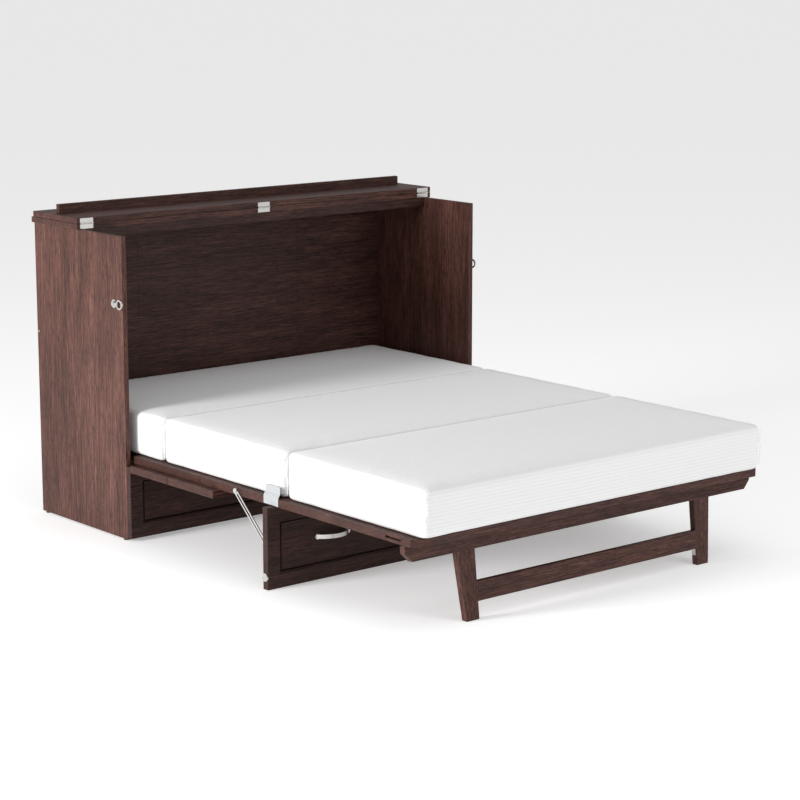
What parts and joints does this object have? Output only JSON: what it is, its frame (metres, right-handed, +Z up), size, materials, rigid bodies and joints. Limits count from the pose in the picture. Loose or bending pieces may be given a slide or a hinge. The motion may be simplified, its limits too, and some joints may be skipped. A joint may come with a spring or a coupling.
{
  "type": "cabinet bed",
  "caption": "Cabinet bed with a folding lid, hinged decks, a support panel, a trestle leg and a folding foam mattress, shown open for sleeping.",
  "frame": {"origin": "centre of the bounding box in plan, on the floor", "axes": "+Z up, +Y toward the head end and the cabinet's back, -Y toward the foot, +X to the right of a person who looks at the cabinet from the foot"},
  "size_m": [1.626, 2.108, 1.143],
  "materials": {
    "cabinet_wood": "satin",
    "deck_wood": "satin",
    "trestle_wood": "satin",
    "back_board": "satin",
    "nickel": "brushed",
    "black_glide": "matte",
    "cover_fabric": "matte",
    "flap_fabric": "matte"
  },
  "bodies": {
    "cabinet": {"side_left": "cabinet_wood", "side_right": "cabinet_wood", "glides": "black_glide", "side_caps": "nickel", "back_left": "back_board", "back_middle": "back_board", "back_right": "back_board", "head_deck": "deck_wood", "rail_left": "deck_wood", "rail_right": "deck_wood", "rail_back": "deck_wood", "base_panel": "cabinet_wood", "lid_rear": "cabinet_wood", "lid_apron": "cabinet_wood", "latch_post_left": "nickel", "latch_post_right": "nickel", "lid_hinge_fixed": "nickel", "bed_hinge_fixed": "nickel"},
    "lid_front": {"lid_front_board": "cabinet_wood", "lid_stiffener": "cabinet_wood", "lid_hinge_moving": "nickel"},
    "deck_middle": {"deck_mid_head": "deck_wood", "deck_mid_foot": "deck_wood", "front_lower": "cabinet_wood", "front_upper": "cabinet_wood", "bed_hinge_moving": "nickel", "deck_hinge_fixed": "nickel", "panel_hinge_fixed": "nickel"},
    "deck_foot": {"deck_foot_board": "deck_wood", "deck_hinge_moving": "nickel", "trestle_hinge_fixed": "nickel"},
    "trestle": {"trestle_beam": "trestle_wood", "trestle_leg_left": "trestle_wood", "trestle_leg_right": "trestle_wood", "trestle_stretcher": "trestle_wood", "trestle_brackets": "nickel", "trestle_hinge_moving": "nickel"},
    "support_panel": {"support_board": "cabinet_wood", "panel_hinge_moving": "nickel", "pull_handle_left": "nickel", "pull_handle_right": "nickel", "keeper_stud_left": "nickel", "keeper_stud_right": "nickel", "stay_bracket_left": "nickel", "stay_bracket_right": "nickel"},
    "stay_left_arm": {"stay_left": "nickel"},
    "stay_right_arm": {"stay_right": "nickel"},
    "latch_left": {"latch_ring_left": "nickel"},
    "latch_right": {"latch_ring_right": "nickel"},
    "cushion_head": {"mattress_head": "cover_fabric"},
    "cushion_middle": {"mattress_middle": "cover_fabric", "mattress_flap": "flap_fabric"},
    "cushion_foot": {"mattress_foot": "cover_fabric"}
  },
  "joints": [
    {"name": "lid_fold", "type": "hinge", "parent": "cabinet", "child": "lid_front", "pos_m": [0, 0.75, 1.0907], "axis": [1, 0, 0], "range_deg": [0, 180]},
    {"name": "bed_fold", "type": "hinge", "parent": "cabinet", "child": "deck_middle", "pos_m": [0, 0.4865, 0.274], "axis": [-1, 0, 0], "range_deg": [0, 90], "deforming": ["mattress_head", "mattress_middle", "mattress_foot", "mattress_flap"]},
    {"name": "panel_fold", "type": "hinge", "parent": "deck_middle", "child": "support_panel", "pos_m": [0, -0.307, 0.2737], "axis": [1, 0, 0], "range_deg": [0, 90]},
    {"name": "stay_left_turn", "type": "hinge", "parent": "support_panel", "child": "stay_left_arm", "pos_m": [-0.772, -0.295, 0.128], "axis": [-1, 0, 0], "range_deg": [0, 42.1]},
    {"name": "stay_right_turn", "type": "hinge", "parent": "support_panel", "child": "stay_right_arm", "pos_m": [0.772, -0.295, 0.128], "axis": [-1, 0, 0], "range_deg": [0, 42.1]},
    {"name": "deck_fold", "type": "hinge", "parent": "deck_middle", "child": "deck_foot", "pos_m": [0, -0.285, 0.3005], "axis": [-1, 0, 0], "range_deg": [0, 180]},
    {"name": "trestle_fold", "type": "hinge", "parent": "deck_foot", "child": "trestle", "pos_m": [0, -0.956, 0.273], "axis": [1, 0, 0], "range_deg": [0, 96.4]},
    {"name": "cushion_middle_lift", "type": "hinge", "parent": "cabinet", "child": "cushion_middle", "pos_m": [0, 0.53175, 0.10825], "axis": [-1, 0, 0], "range_deg": [0, 90]},
    {"name": "cushion_head_fold", "type": "hinge", "parent": "cushion_middle", "child": "cushion_head", "pos_m": [0, 0.339, 0.45675], "axis": [1, 0, 0], "range_deg": [0, 180]},
    {"name": "cushion_foot_fold", "type": "hinge", "parent": "cushion_middle", "child": "cushion_foot", "pos_m": [0, -0.358, 0.30025], "axis": [1, 0, 0], "range_deg": [0, 180]},
    {"name": "latch_left_turn", "type": "hinge", "parent": "cabinet", "child": "latch_left", "pos_m": [-0.81, 0.535, 0.835], "axis": [-1, 0, 0], "range_deg": [0, 90]},
    {"name": "latch_right_turn", "type": "hinge", "parent": "cabinet", "child": "latch_right", "pos_m": [0.81, 0.535, 0.835], "axis": [-1, 0, 0], "range_deg": [0, 90]}
  ],
  "couplings": [
    {"joint": "panel_fold", "follows": "bed_fold", "ratio": 1},
    {"joint": "stay_left_turn", "follows": "bed_fold", "ratio": 0.4677},
    {"joint": "stay_right_turn", "follows": "bed_fold", "ratio": 0.4677},
    {"joint": "cushion_middle_lift", "follows": "bed_fold", "ratio": 1},
    {"joint": "cushion_head_fold", "follows": "bed_fold", "ratio": 2},
    {"joint": "cushion_foot_fold", "follows": "bed_fold", "ratio": 2},
    {"joint": "trestle_fold", "follows": "deck_fold", "ratio": 0.5355}
  ]
}
